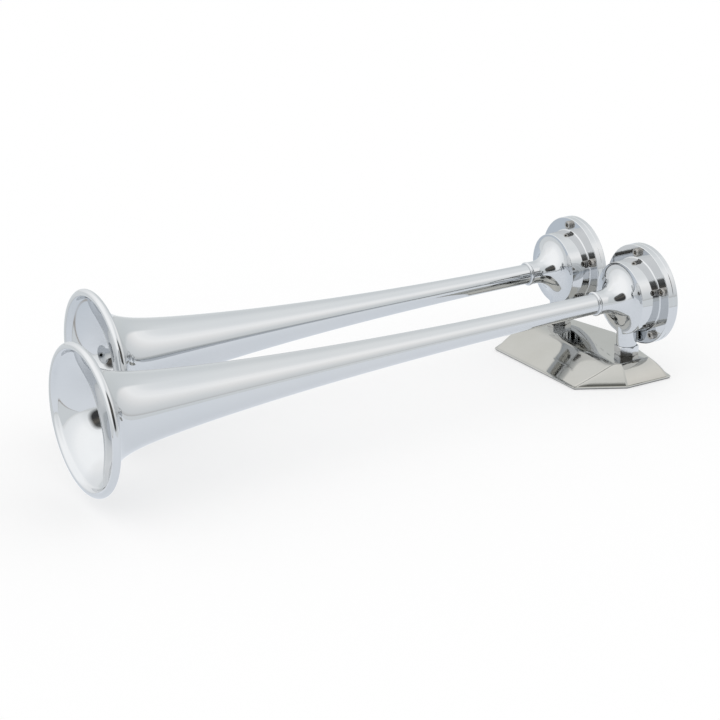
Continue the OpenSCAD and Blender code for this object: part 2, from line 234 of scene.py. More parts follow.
def horn_matrix(side):
    """Puts a shape drawn round +Z onto the trumpet axis of one side."""
    return (
        Matrix.Translation((side * HORN_SPACING / 2, 0, AXIS_HEIGHT))
        @ Matrix.Rotation(side * TOE_OUT, 4, "Z")
        @ Matrix.Rotation(math.pi / 2, 4, "X")
        @ Matrix.Translation((0, 0, -POST_AHEAD))
    )


def post_matrix(side, level):
    return Matrix.Translation((side * HORN_SPACING / 2, 0, level))


class Shape:
    """Vertices and faces of one piece, put together from parts."""

    def __init__(self):
        self.points = []
        self.faces = []

    def add(self, points, faces, matrix=None):
        first = len(self.points)
        for p in points:
            self.points.append(matrix @ Vector(p) if matrix else Vector(p))
        for face in faces:
            self.faces.append([first + i for i in face])

    def revolve(self, profile, segments, matrix):
        """Turns a closed profile of (radius, station) round +Z. It runs with the solid on its left
        when radius points right and station points up."""
        points = []
        faces = []
        for radius, station in profile:
            for k in range(segments):
                a = 2 * math.pi * k / segments
                points.append((radius * math.cos(a), radius * math.sin(a), station))
        rows = len(profile)
        for i in range(rows):
            j = (i + 1) % rows
            for k in range(segments):
                m = (k + 1) % segments
                faces.append([i * segments + k, i * segments + m, j * segments + m, j * segments + k])
        self.add(points, faces, matrix)

    def loft(self, rings, matrix=None, cap_start=True, cap_end=True):
        """Quads between rings of equal length, which run anticlockwise seen from the last one,
        and flat ends of triangles round a middle point."""
        n = len(rings[0])
        faces = []
        for i in range(len(rings) - 1):
            for k in range(n):
                m = (k + 1) % n
                faces.append([i * n + k, i * n + m, (i + 1) * n + m, (i + 1) * n + k])
        points = [p for ring in rings for p in ring]
        last = (len(rings) - 1) * n
        if cap_start:
            faces += [[(k + 1) % n, k, len(points)] for k in range(n)]
            points.append(sum((Vector(p) for p in rings[0]), Vector()) / n)
        if cap_end:
            faces += [[last + k, last + (k + 1) % n, len(points)] for k in range(n)]
            points.append(sum((Vector(p) for p in rings[-1]), Vector()) / n)
        self.add(points, faces, matrix)

    def build(self, name, material, nodes, sharp=30):
        """Makes the object, shades it, and lets it stand for CAD nodes."""
        mesh = bpy.data.meshes.new(name)
        mesh.from_pydata([tuple(p) for p in self.points], [], self.faces)
        mesh.validate()
        mesh.materials.append(material)
        mesh.shade_smooth()
        mesh.set_sharp_from_angle(angle=math.radians(sharp))
        piece = bpy.data.objects.new(name, mesh)
        bpy.context.scene.collection.objects.link(piece)
        weighted = piece.modifiers.new("normals", "WEIGHTED_NORMAL")
        weighted.weight = 100
        weighted.keep_sharp = True
        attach(piece, "root")
        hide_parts(*nodes)


# Materials


class Nodes:
    """Short calls for the nodes of one node tree."""

    def __init__(self, tree):
        self.tree = tree
        self.coords = None

    def node(self, kind, **settings):
        made = self.tree.nodes.new(kind)
        for key, value in settings.items():
            if hasattr(made, key):
                setattr(made, key, value)
            else:
                made.inputs[key].default_value = value
        return made

    def link(self, source, target):
        self.tree.links.new(source, target)

    def set(self, socket, value):
        """Links a socket, or gives it a number or a colour."""
        if isinstance(value, (int, float)):
            socket.default_value = value
        elif isinstance(value, tuple):
            socket.default_value = (*value, 1)
        else:
            self.link(value, socket)

    def stretched(self, scale):
        mapping = self.node("ShaderNodeMapping")
        mapping.inputs["Scale"].default_value = scale
        self.link(self.coords, mapping.inputs["Vector"])
        return mapping.outputs["Vector"]

    def noise(self, scale, detail=3, stretch=None):
        made = self.node("ShaderNodeTexNoise", Scale=scale, Detail=detail)
        self.link(self.stretched(stretch) if stretch else self.coords, made.inputs["Vector"])
        return made.outputs["Fac"]

    def spread(self, value, low, high, start=0.3, end=0.7):
        made = self.node("ShaderNodeMapRange")
        made.inputs["From Min"].default_value = start
        made.inputs["From Max"].default_value = end
        made.inputs["To Min"].default_value = low
        made.inputs["To Max"].default_value = high
        self.link(value, made.inputs["Value"])
        return made.outputs["Result"]

    def math(self, operation, a, b, clamp=False):
        made = self.node("ShaderNodeMath", operation=operation)
        made.use_clamp = clamp
        self.set(made.inputs[0], a)
        self.set(made.inputs[1], b)
        return made.outputs["Value"]

    def place(self, value):
        """Turns a value from minus one to one into 0 to 1."""
        made = self.math("MULTIPLY_ADD", value, 0.5)
        made.node.inputs[2].default_value = 0.5
        return made

    def dot(self, direction):
        made = self.node("ShaderNodeVectorMath", operation="DOT_PRODUCT")
        self.link(self.coords, made.inputs[0])
        made.inputs[1].default_value = direction
        return made.outputs["Value"]

    def blend(self, factor, one, two):
        made = self.node("ShaderNodeMix", data_type="RGBA")
        self.set(made.inputs[0], factor)
        colours = [s for s in made.inputs if s.type == "RGBA"]
        self.set(colours[0], one)
        self.set(colours[1], two)
        return next(s for s in made.outputs if s.type == "RGBA")

    def ramp(self, factor, stops):
        made = self.node("ShaderNodeValToRGB")
        elements = made.color_ramp.elements
        while len(elements) < len(stops):
            elements.new(1.0)
        for element, (place, colour) in zip(elements, stops):
            element.position = place
            element.color = (*colour, 1)
        self.link(factor, made.inputs["Fac"])
        return made.outputs["Color"]


class Paint(Nodes):
    """A material with its shader and object coordinates."""

    def __init__(self, name, colour, metallic, roughness):
        self.material = bpy.data.materials.new(name)
        self.material.use_nodes = True
        super().__init__(self.material.node_tree)
        self.shader = self.tree.nodes["Principled BSDF"]
        self.shader.inputs["Metallic"].default_value = metallic
        self.shader.inputs["Roughness"].default_value = roughness
        self.shader.inputs["Base Color"].default_value = (*colour, 1)
        self.coords = self.node("ShaderNodeTexCoord").outputs["Object"]

    def colour(self, source):
        self.link(source, self.shader.inputs["Base Color"])

    def roughness(self, source):
        self.link(source, self.shader.inputs["Roughness"])

    def bump(self, height, distance):
        made = self.node("ShaderNodeBump", Strength=1.0, Distance=distance)
        self.link(height, made.inputs["Height"])
        self.link(made.outputs["Normal"], self.shader.inputs["Normal"])


def chrome(name):
    """Bright chrome plate: faint waviness, fine spun rings across the trumpet axis, light smudges."""
    paint = Paint(name, (0.625, 0.638, 0.65), 1, 0.05)
    smudges = paint.noise(16, 5)
    hazy = paint.spread(smudges, 0.02, 0.055, 0.35, 0.75)
    rings = paint.noise(1, 2, (0, 900, 0))
    paint.roughness(paint.math("ADD", hazy, paint.spread(rings, 0, 0.015)))
    cloud = paint.noise(9, 2)
    paint.colour(paint.blend(paint.spread(cloud, 0, 1), (0.612, 0.628, 0.643), (0.635, 0.643, 0.65)))
    waves = paint.noise(55, 2)
    paint.bump(paint.math("ADD", waves, paint.math("MULTIPLY", rings, 0.04)), 0.00003)
    return paint.material


def stainless(name):
    """Polished stainless sheet with a faint warm tone and long fine polishing lines."""
    paint = Paint(name, (0.475, 0.468, 0.438), 1, 0.1)
    lines = paint.noise(1, 4, (40, 1400, 1400))
    clouds = paint.noise(22, 4)
    paint.roughness(paint.math("ADD", paint.spread(clouds, 0.025, 0.06), paint.spread(lines, 0, 0.03)))
    paint.colour(paint.blend(paint.spread(clouds, 0, 1), (0.458, 0.451, 0.419), (0.492, 0.485, 0.459)))
    waves = paint.noise(30, 2)
    paint.bump(paint.math("ADD", waves, paint.math("MULTIPLY", lines, 0.05)), 0.00004)
    return paint.material


def steel(name, dark, light, low, high, scale):
    """Plain or plated steel with a fine grain."""
    paint = Paint(name, light, 1, high)
    grain = paint.noise(scale, 4)
    patches = paint.noise(scale / 12, 3)
    paint.roughness(paint.spread(grain, low, high))
    paint.colour(paint.blend(paint.spread(patches, 0, 1), dark, light))
    paint.bump(grain, 0.00003)
    return paint.material


def rubber(name):
    paint = Paint(name, (0.03, 0.03, 0.032), 0, 0.7)
    grain = paint.noise(900, 3)
    dust = paint.noise(60, 4)
    paint.roughness(paint.spread(dust, 0.6, 0.85))
    paint.colour(paint.blend(paint.spread(dust, 0, 1), (0.022, 0.022, 0.024), (0.05, 0.05, 0.052)))
    paint.bump(grain, 0.0001)
    return paint.material


CHROME = chrome("chrome_plate")
NUT_CHROME = steel("nut_plate", (0.58, 0.595, 0.615), (0.67, 0.68, 0.69), 0.14, 0.22, 600)
STAINLESS = stainless("polished_sheet")
SCREW_STEEL = steel("screw_steel", (0.33, 0.315, 0.295), (0.52, 0.505, 0.48), 0.16, 0.3, 700)
PLAIN_STEEL = steel("zinc_steel", (0.52, 0.53, 0.52), (0.66, 0.66, 0.63), 0.25, 0.42, 500)
SPRING_STEEL = steel("spring_steel", (0.45, 0.46, 0.48), (0.55, 0.56, 0.58), 0.2, 0.35, 400)
BRASS = steel("turned_brass", (0.72, 0.56, 0.28), (0.84, 0.68, 0.38), 0.18, 0.3, 400)
RUBBER = rubber("black_rubber")


# Trumpets


def horn_radius(back, tube):
    """Outer radius of a trumpet at a distance back from its rim."""
    tail = SLOW_GAIN * math.exp(-tube / SLOW_LENGTH)
    cone = TUBE_GAIN * max(0.0, 1 - back / tube) ** TUBE_CURVE
    slow = SLOW_GAIN * math.exp(-back / SLOW_LENGTH) - tail
    sharp = (SHARP_GAIN + tail) * math.exp(-back / SHARP_LENGTH)
    return THROAT_RADIUS + cone + slow + sharp


def rim_blend(bead, wall, steps=8):
    """Points of a smooth curve that leads from the rolled rim into the inner wall."""
    first, last = Vector(bead[1]), Vector(wall[0])
    pull = (last - first).length * 0.4
    leave = first + (first - Vector(bead[0])).normalized() * pull
    enter = last + (last - Vector(wall[1])).normalized() * pull
    points = []
    for i in range(1, steps):
        t = i / steps
        rest = 1 - t
        p = first * rest**3 + leave * 3 * t * rest**2 + enter * 3 * t**2 * rest + last * t**3
        points.append((p.x, p.y))
    return points


def trumpet_profile(reach, steps=96, bead_steps=30):
    """Closed outline of the wall with its rolled rim, as (radius, station)."""
    tube = reach - RING_STATION
    step = 0.01 * MM
    outer = []
    inner = []
    for i in range(steps + 1):
        back = tube * (i / steps) ** 2.4
        r = horn_radius(back, tube)
        slope = (horn_radius(back + step, tube) - r) / step
        stretch = math.hypot(1, slope)
        outer.append((r, reach - back))
        inner.append((r - TRUMPET_WALL / stretch, reach - back - TRUMPET_WALL * slope / stretch))
    centre = (BELL_RADIUS - RIM_BEAD, reach)
    outer = [p for p in reversed(outer) if math.dist(p, centre) > RIM_BEAD * 1.02]
    inner = [p for p in inner if math.dist(p, centre) > RIM_BEAD + RIM_BLEND]
    start = math.degrees(math.atan2(outer[-1][1] - centre[1], outer[-1][0] - centre[0]))
    bead = arc(centre, RIM_BEAD - BEAD_CLEARANCE, start, RIM_LEAVE, bead_steps)
    throat = [(THROAT_RADIUS - TRUMPET_WALL, TUBE_STOP), (THROAT_RADIUS, TUBE_STOP)]
    return throat + outer + bead + rim_blend(bead[-2:], inner[:2]) + inner


def trumpet(side):
    shape = Shape()
    shape.revolve(trumpet_profile(REACH[side]), TRUMPET_SEGMENTS, horn_matrix(SIDE[side]))
    nodes = [f"{side}_bell", f"{side}_tube"]
    shape.build(f"{side}_trumpet_skin", CHROME, nodes, sharp=35)


def neck_ring(side):
    centre = (RING_RADIUS - RING_BEAD, RING_STATION)
    profile = arc(centre, RING_BEAD, -100, 100, 24)
    profile.append((THROAT_RADIUS, centre[1] + RING_BEAD * 0.9))
    profile.append((THROAT_RADIUS, centre[1] - RING_BEAD * 0.9))
    shape = Shape()
    shape.revolve(profile, RING_SEGMENTS, horn_matrix(SIDE[side]))
    shape.build(f"{side}_neck_bead", CHROME, [f"{side}_neck_ring"])


# Sound chamber


def chamber_profile():
    """Closed outline: neck, cove, front edge, drafted wall, root fillet, flange, and the hollows."""
    soft = 0.4 * MM
    edge = 0.6 * MM
    seam = SEAM_EDGE
    bore = THROAT_RADIUS + FREE_FIT
    nozzle = THROAT_RADIUS - TRUMPET_WALL + NOZZLE_WALL
    cavity = CHAMBER_RADIUS - CHAMBER_WALL
    front = CHAMBER_LENGTH - CHAMBER_WALL - WALL_DRAFT
    recess = DIAPHRAGM_RADIUS + RECESS_GAP
    back = -FLANGE_THICKNESS
    outline = [(bore, NECK_END)]
    outline += reversed(arc((NECK_RADIUS - soft, NECK_END - soft), soft, 0, 90, 4))
    outline += arc((CHAMBER_RADIUS - FRONT_LAND, COVE_STATION), COVE_RADIUS, 180, 267, 40)
    outline += reversed(arc((CHAMBER_RADIUS - edge, CHAMBER_LENGTH - edge), edge, -2, 80, 6))
    outline += arc((ROOT_RADIUS + ROOT_FILLET, ROOT_FILLET), ROOT_FILLET, 180, 270, 8)
    outline += reversed(arc((FLANGE_RADIUS - edge, -edge), edge, 0, 90, 6))
    outline += [(FLANGE_RADIUS, back + seam), (FLANGE_RADIUS - seam, back), (recess, back)]
    outline += [(recess, back + RECESS_DEPTH), (cavity, back + RECESS_DEPTH)]
    outline.append((cavity, front - CHAMBER_WALL))
    outline += arc((cavity - CHAMBER_WALL, front - CHAMBER_WALL), CHAMBER_WALL, 10, 90, 6)
    outline += [(nozzle, front), (nozzle, TUBE_STOP), (bore, TUBE_STOP)]
    return outline[::-1]


def wall_radius(station):
    """Outer radius of the chamber at a station under which the post stands."""
    if station > CHAMBER_LENGTH:
        drop = COVE_STATION - station
        return CHAMBER_RADIUS - FRONT_LAND - math.sqrt(COVE_RADIUS**2 - drop**2)
    share = (CHAMBER_LENGTH - station) / CHAMBER_LENGTH
    return CHAMBER_RADIUS + WALL_DRAFT * share


def post_rings(segments=96):
    """Rings of the post in the trumpet's frame, from its foot up to its saddle on the chamber."""
    foot = AXIS_HEIGHT - POST_LEVEL
    sunk = 0.2 * MM
    edge = 0.4 * MM
    fillet = 1.2 * MM
    levels = [(POST_RADIUS - edge, foot), (POST_RADIUS - edge / 3, foot - edge / 3)]
    levels.append((POST_RADIUS, foot - edge))
    rings = []
    for radius, depth in levels:
        ring = []
        for k in range(segments):
            a = 2 * math.pi * k / segments
            ring.append((radius * math.cos(a), -depth, POST_AHEAD - radius * math.sin(a)))
        rings.append(ring)
    steps = 6
    for i in range(steps + 1):
        a = math.radians(90 * i / steps)
        radius = POST_RADIUS + fillet * (1 - math.cos(a))
        gap = fillet * (1 - math.sin(a))
        ring = []
        for k in range(segments):
            b = 2 * math.pi * k / segments
            x = radius * math.cos(b)
            station = POST_AHEAD - radius * math.sin(b)
            top = math.sqrt(wall_radius(station) ** 2 - x * x)
            ring.append((x, -(top - sunk + gap), station))
        rings.append(ring)
    return rings


def chamber(side):
    shape = Shape()
    matrix = horn_matrix(SIDE[side])
    shape.revolve(chamber_profile(), CHAMBER_SEGMENTS, matrix)
    shape.loft(post_rings(), matrix)
    shape.build(f"{side}_chamber_casting", CHROME, [f"{side}_chamber"], sharp=32)


def back_cover(side):
    """Round cover with softened edges, and the raised ring that clamps the diaphragm."""
    front = -FLANGE_THICKNESS
    back = front - COVER_THICKNESS
    seam = SEAM_EDGE
    soft = COVER_EDGE
    inner = DIAPHRAGM_RADIUS - SEAL_WIDTH
    clamp = CLAMP_STATION
    outline = [(PINHOLE, clamp - CLAMP_DEPTH), (inner, clamp - CLAMP_DEPTH), (inner, clamp)]
    outline += [(DIAPHRAGM_RADIUS, clamp), (DIAPHRAGM_RADIUS, front)]
    outline += [(FLANGE_RADIUS - seam, front), (FLANGE_RADIUS, front - seam)]
    outline += reversed(arc((FLANGE_RADIUS - soft, back + soft), soft, -90, 0, 8))
    outline.append((PINHOLE, back))
    shape = Shape()
    shape.revolve(outline[::-1], CHAMBER_SEGMENTS, horn_matrix(SIDE[side]))
    shape.build(f"{side}_rear_cover", CHROME, [f"{side}_back_cover"], sharp=32)


# Cover screws


def hexagon_radius(angle, flats):
    """Distance from the centre to a hexagon's outline at an angle."""
    part = (angle % (math.pi / 3)) - math.pi / 6
    return flats / 2 / math.cos(part)


def ring_at(radius, level, segments):
    points = []
    for k in range(segments):
        a = 2 * math.pi * k / segments
        points.append((radius * math.cos(a), radius * math.sin(a), level))
    return points


def knurled_ring(radius, level, depth, segments):
    points = []
    for k in range(segments):
        a = 2 * math.pi * k / segments
        r = radius - (depth if k % 2 else 0)
        points.append((r * math.cos(a), r * math.sin(a), level))
    return points


def hexagon_ring(flats, level, segments):
    points = []
    for k in range(segments):
        a = 2 * math.pi * k / segments
        r = hexagon_radius(a, flats)
        points.append((r * math.cos(a), r * math.sin(a), level))
    return points


def cap_screw_rings(segments=96):
    """Rings from the shank's end up over the knurled head and down into the hexagon socket."""
    knurl = 0.14 * MM
    edge = 0.35 * MM
    tip = 0.5 * MM
    return [
        ring_at(SCREW_RADIUS - tip, -SCREW_LENGTH, segments),
        ring_at(SCREW_RADIUS, tip - SCREW_LENGTH, segments),
        ring_at(SCREW_RADIUS, 0, segments),
        ring_at(HEAD_RADIUS - edge, 0, segments),
        ring_at(HEAD_RADIUS - knurl, edge / 2, segments),
        knurled_ring(HEAD_RADIUS, 2 * edge, knurl, segments),
        knurled_ring(HEAD_RADIUS, HEAD_HEIGHT - 2.4 * edge, knurl, segments),
        ring_at(HEAD_RADIUS - knurl, HEAD_HEIGHT - 1.8 * edge, segments),
        ring_at(HEAD_RADIUS - edge, HEAD_HEIGHT - edge / 3, segments),
        ring_at(HEAD_RADIUS - 1.6 * edge, HEAD_HEIGHT, segments),
        ring_at(SOCKET_FLATS / 2 * 1.2, HEAD_HEIGHT, segments),
        hexagon_ring(SOCKET_FLATS, HEAD_HEIGHT - edge / 2, segments),
        hexagon_ring(SOCKET_FLATS, HEAD_HEIGHT - SOCKET_DEPTH, segments),
        ring_at(SOCKET_FLATS / 8, HEAD_HEIGHT - SOCKET_DEPTH - edge, segments),
    ]


def cover_screws(side):
    shape = Shape()
    rings = cap_screw_rings()
    for i in range(SCREW_COUNT):
        angle = math.radians(90 + 360 * i / SCREW_COUNT)
        place = Matrix.Rotation(angle, 4, "Z") @ Matrix.Translation((SCREW_CIRCLE, 0, 0))
        shape.loft(rings, horn_matrix(SIDE[side]) @ place)
    nodes = [f"{side}_cover_screws"]
    shape.build(f"{side}_cap_screws", SCREW_STEEL, nodes, sharp=25)


# Post nut and stud


def upper_nut(side, segments=96):
    """Hexagon nut: flats, corners turned off by a cone at both ends, and its bore."""
    slope = math.tan(NUT_CHAMFER)
    bore = STUD_RADIUS + FREE_FIT

    def side_ring(level, up):
        points = []
        for k in range(segments):
            a = 2 * math.pi * k / segments
            r = hexagon_radius(a, NUT_FLATS)
            rise = up * (r - NUT_FLATS / 2) * slope
            points.append((r * math.cos(a), r * math.sin(a), level + rise))
        return points

    face = NUT_FLATS / 2 * NUT_FACE_SHARE
    rings = [
        ring_at(bore, 0, segments),
        ring_at(face, 0, segments),
        side_ring(NUT_EDGE, 1),
        side_ring(NUT_HEIGHT - NUT_EDGE, -1),
        ring_at(face, NUT_HEIGHT, segments),
        ring_at(bore, NUT_HEIGHT, segments),
    ]
    shape = Shape()
    matrix = post_matrix(SIDE[side], BASE_HEIGHT) @ Matrix.Rotation(NUT_TURN, 4, "Z")
    shape.loft(rings + [rings[0]], matrix, cap_start=False, cap_end=False)
    shape.build(f"{side}_post_nut", NUT_CHROME, [f"{side}_upper_nut"], sharp=25)


def inlet_stud(side, segments=48, steps=6):
    """Hollow stud with a real helical thread and a wider inlet at its lower end."""
    turns = int((STUD_TOP + STUD_DROP) / THREAD_PITCH) - 1
    start = 0.5 * THREAD_PITCH
    rings = []
    for i in range(turns * steps + 1):
        level = start + THREAD_PITCH * i / steps
        ring = []
        for k in range(segments):
            a = 2 * math.pi * k / segments
            phase = (i / steps - k / segments) % 1
            cut = THREAD_DEPTH * max(0.0, 1 - abs(2 * phase - 1) * THREAD_STEEPNESS)
            if RELIEF_START < level < RELIEF_START + RELIEF_WIDTH:
                cut = RELIEF_DEPTH
            r = STUD_RADIUS - cut
            ring.append((r * math.cos(a), r * math.sin(a), level))
        rings.append(ring)
    length = STUD_TOP + STUD_DROP
    core = STUD_RADIUS - THREAD_DEPTH
    body = [ring_at(core, 0, segments)] + rings + [ring_at(core, length, segments)]
    body += [ring_at(AIR_BORE, length, segments), ring_at(AIR_BORE, INLET_DEPTH + 1 * MM, segments)]
    body += [ring_at(INLET_RADIUS, INLET_DEPTH, segments), ring_at(INLET_RADIUS, 0, segments)]
    shape = Shape()
    matrix = post_matrix(SIDE[side], -STUD_DROP)
    shape.loft(body + [body[0]], matrix, cap_start=False, cap_end=False)
    nodes = [f"{side}_inlet_stud"]
    shape.build(f"{side}_air_stud", PLAIN_STEEL, nodes, sharp=40)


# Base cover


BASE_CORNERS = [
    (-FRONT_WIDTH / 2, -FRONT_AHEAD),
    (FRONT_WIDTH / 2, -FRONT_AHEAD),
    (BASE_WIDTH / 2, -SIDE_AHEAD),
    (BASE_WIDTH / 2, SIDE_BEHIND),
    (0, REAR_BEHIND),
    (-BASE_WIDTH / 2, SIDE_BEHIND),
    (-BASE_WIDTH / 2, -SIDE_AHEAD),
]


def face_inset(run, bend, sheet, blend, level):
    """How far inward a bowed face lies at a level. The bow ends in a blend with the flat top."""
    top = BASE_HEIGHT
    rise = top - LIP_LEVEL
    width = run - BASE_LIP
    tilt = math.atan2(rise, width) - bend / 2
    bow = math.hypot(rise, width) / 2 / math.sin(bend / 2)
    middle = Vector((run + bow * math.sin(tilt), top - bow * math.cos(tilt)))
    bow -= sheet
    top -= sheet
    small = max(blend - sheet, 0.4 * MM)
    low = top - small
    x = middle.x - math.sqrt((bow - small) ** 2 - (low - middle.y) ** 2)
    touch = middle + (Vector((x, low)) - middle) * bow / (bow - small)
    if level > touch.y:
        return x - math.sqrt(max(0.0, small**2 - (level - low) ** 2))
    return middle.x - math.sqrt(bow**2 - (level - middle.y) ** 2)


def inset_corners(insets):
    """Corners of the base outline with each side moved inward by its own amount."""
    n = len(BASE_CORNERS)
    lines = []
    for i in range(n):
        p = Vector(BASE_CORNERS[i])
        q = Vector(BASE_CORNERS[(i + 1) % n])
        along = (q - p).normalized()
        inward = Vector((-along.y, along.x))
        lines.append((p + inward * insets[i], along))
    corners = []
    for i in range(n):
        (p, a), (q, b) = lines[i - 1], lines[i]
        d = q - p
        t = (d.x * b.y - d.y * b.x) / (a.x * b.y - a.y * b.x)
        corners.append((p + a * t, a, b))
    return corners


def rounded_outline(insets, level, radius, steps=4, along=6):
    """Ring of points round the base at a level, its corners rounded in plan."""
    corners = inset_corners(insets)
    arcs = []
    for corner, a, b in corners:
        turn = math.atan2(a.x * b.y - a.y * b.x, a.dot(b))
        back = radius * math.tan(turn / 2)
        centre = corner - a * back + Vector((-a.y, a.x)) * radius
        points = []
        for i in range(steps + 1):
            t = turn * i / steps
            x = centre.x + radius * (a.y * math.cos(t) + a.x * math.sin(t))
            y = centre.y + radius * (-a.x * math.cos(t) + a.y * math.sin(t))
            points.append(Vector((x, y)))
        arcs.append(points)
    ring = []
    for i, points in enumerate(arcs):
        ring += [(p.x, p.y, level) for p in points]
        after = arcs[(i + 1) % len(arcs)][0]
        for k in range(1, along):
            p = points[-1].lerp(after, k / along)
            ring.append((p.x, p.y, level))
    return ring


def cover_ring(sheet, level):
    front = face_inset(FRONT_RUN, FRONT_BEND, sheet, FRONT_BLEND, level)
    side = face_inset(SIDE_RUN, SIDE_BEND, sheet, SIDE_BLEND, level)
    insets = [front] + [side] * (len(BASE_CORNERS) - 1)
    share = (level - LIP_LEVEL) / (BASE_HEIGHT - LIP_LEVEL)
    corner = FOOT_CREASE + (TOP_CREASE - FOOT_CREASE) * share
    return rounded_outline(insets, level, corner)


def base_cover():
    """Bent sheet cover: foot lip, bowed faces with soft creases, flat top, hollow underneath."""
    corner = BASE_CORNER
    steps = COVER_STEPS
    top = BASE_HEIGHT
    flat = [0.0] * len(BASE_CORNERS)
    soft = LIP_EDGE
    rings = []
    inner_top = top - SHEET
    for i in range(steps + 1):
        level = LIP_LEVEL + (inner_top - LIP_LEVEL) * math.sin(math.pi / 2 * (steps - i) / steps)
        rings.append(cover_ring(SHEET, level))
    rings.append(rounded_outline([SHEET + BASE_LIP] * len(BASE_CORNERS), GASKET, corner))
    rings.append(rounded_outline([soft] * len(BASE_CORNERS), GASKET, corner))
    rings.append(rounded_outline(flat, GASKET + soft, corner))
    rings.append(rounded_outline(flat, LIP_LEVEL - soft, corner))
    rings.append(rounded_outline([soft] * len(BASE_CORNERS), LIP_LEVEL, corner))
    for i in range(steps + 1):
        level = LIP_LEVEL + (top - LIP_LEVEL) * math.sin(math.pi / 2 * i / steps)
        rings.append(cover_ring(0, level))
    shape = Shape()
    shape.loft(rings)
    shape.build("base_sheet_cover", STAINLESS, ["base_cover"], sharp=28)


def dress_hidden_nodes():
    """Materials for the CAD nodes that stay as they are."""
    finish = {
        "nozzle": BRASS,
        "seal_ring": RUBBER,
        "diaphragm": SPRING_STEEL,
        "washer": PLAIN_STEEL,
        "lock_nut": PLAIN_STEEL,
    }
    chosen = {"backing_plate": PLAIN_STEEL, "base_gasket": RUBBER}
    for side in SIDE:
        for part, material in finish.items():
            chosen[f"{side}_{part}"] = material
    for name, material in chosen.items():
        node = frame["nodes"][name]
        node.data.materials.clear()
        node.data.materials.append(material)


# Stage


def floor():
    """Round floor. The camera sees it white with the object's soft shadow. The metal mirrors a
    pale lavender table, darkened toward -X by painted shade, whose two far edges show, and plain grey
    ground beyond them."""
    ring = ring_at(FLOOR_RADIUS, FLOOR_LEVEL, FLOOR_SEGMENTS)
    mesh = bpy.data.meshes.new("studio_floor")
    mesh.from_pydata(ring, [], [list(range(FLOOR_SEGMENTS))])
    plane = bpy.data.objects.new("studio_floor", mesh)
    bpy.context.scene.collection.objects.link(plane)
    paint = Paint("floor_paint", WHITE, 0, 1)
    paint.shader.inputs["Specular IOR Level"].default_value = 0
    beyond = None
    seam = None
    for direction, distance in TABLE_EDGES:
        along = paint.dot(direction)
        past = paint.math("SUBTRACT", along, distance)
        outside = paint.math("MULTIPLY", past, EDGE_STEEPNESS, True)
        near = paint.math("DIVIDE", paint.math("ABSOLUTE", past, 0), EDGE_WIDTH)
        line = paint.math("SUBTRACT", 1, near, True)
        beyond = outside if beyond is None else paint.math("MAXIMUM", beyond, outside)
        seam = line if seam is None else paint.math("MAXIMUM", seam, line)
    # painted shade: the table seen by the metal grows darker toward -X
    shade = paint.spread(paint.dot((-1, 0, 0)), 0, 1, SHADE_START, SHADE_END)
    table = paint.blend(shade, TABLE_LIGHT, TABLE_PAINTED_SHADE)
    ground = paint.blend(seam, paint.blend(beyond, table, GROUND), SEAM)
    light = paint.node("ShaderNodeLightPath").outputs["Is Camera Ray"]
    seen = paint.blend(light, ground, WHITE)
    paint.colour(seen)
    glow = paint.node("ShaderNodeEmission")
    merge = paint.node("ShaderNodeMixShader")
    merge.inputs["Fac"].default_value = SHADOW_FILL
    paint.link(seen, glow.inputs["Color"])
    dimming = paint.math("MULTIPLY", light, MIRRORED_GLOW - 1)
    paint.link(paint.math("SUBTRACT", MIRRORED_GLOW, dimming), glow.inputs["Strength"])
    paint.link(paint.shader.outputs["BSDF"], merge.inputs[1])
    paint.link(glow.outputs["Emission"], merge.inputs[2])
    paint.link(merge.outputs["Shader"], paint.tree.nodes["Material Output"].inputs["Surface"])
    mesh.materials.append(paint.material)


def tent_opening():
    """The dark opening of the light tent, on the camera's side. Only mirrored rays see it."""
    centre = Vector(OPENING_CENTRE)
    back = (centre - Vector((0, 0, AXIS_HEIGHT))).normalized()
    right = Vector((0, 0, 1)).cross(back).normalized()
    up = back.cross(right)
    x = OPENING_WIDTH / 2
    y = OPENING_HEIGHT / 2
    mesh = bpy.data.meshes.new("tent_opening")
    mesh.from_pydata([(-x, -y, 0), (x, -y, 0), (x, y, 0), (-x, y, 0)], [], [[0, 1, 2, 3]])
    card = bpy.data.objects.new("tent_opening", mesh)
    bpy.context.scene.collection.objects.link(card)
    turn = Matrix((right, up, back)).transposed().to_4x4()
    card.matrix_world = Matrix.Translation(centre) @ turn
    paint = Paint("tent_dark", (0.02, 0.02, 0.02), 0, 1)
    paint.shader.inputs["Specular IOR Level"].default_value = 0
    across = paint.dot((2 / OPENING_WIDTH, 0, 0))
    upward = paint.dot((0, 2 / OPENING_HEIGHT, 0))
    sides = [paint.math("ABSOLUTE", value, 0) for value in (across, upward)]
    powers = [paint.math("POWER", value, OPENING_ROUNDNESS) for value in sides]
    far = paint.math("POWER", paint.math("ADD", *powers), 1 / OPENING_ROUNDNESS)
    paint.colour(paint.ramp(paint.place(upward), [
        (0.0, (0.07, 0.07, 0.07)),
        (0.35, (0.06, 0.06, 0.06)),
        (0.5, (0.16, 0.145, 0.125)),
        (0.62, (0.10, 0.096, 0.09)),
        (1.0, (0.30, 0.30, 0.29)),
    ]))
    round_edge = paint.spread(far, 1, 0, OPENING_SOFT_FROM, 1.0)
    clear = paint.node("ShaderNodeBsdfTransparent")
    merge = paint.node("ShaderNodeMixShader")
    paint.link(round_edge, merge.inputs["Fac"])
    paint.link(clear.outputs["BSDF"], merge.inputs[1])
    paint.link(paint.shader.outputs["BSDF"], merge.inputs[2])
    paint.link(merge.outputs["Shader"], paint.tree.nodes["Material Output"].inputs["Surface"])
    mesh.materials.append(paint.material)
    card.visible_camera = False
    card.visible_diffuse = False
    card.visible_shadow = False


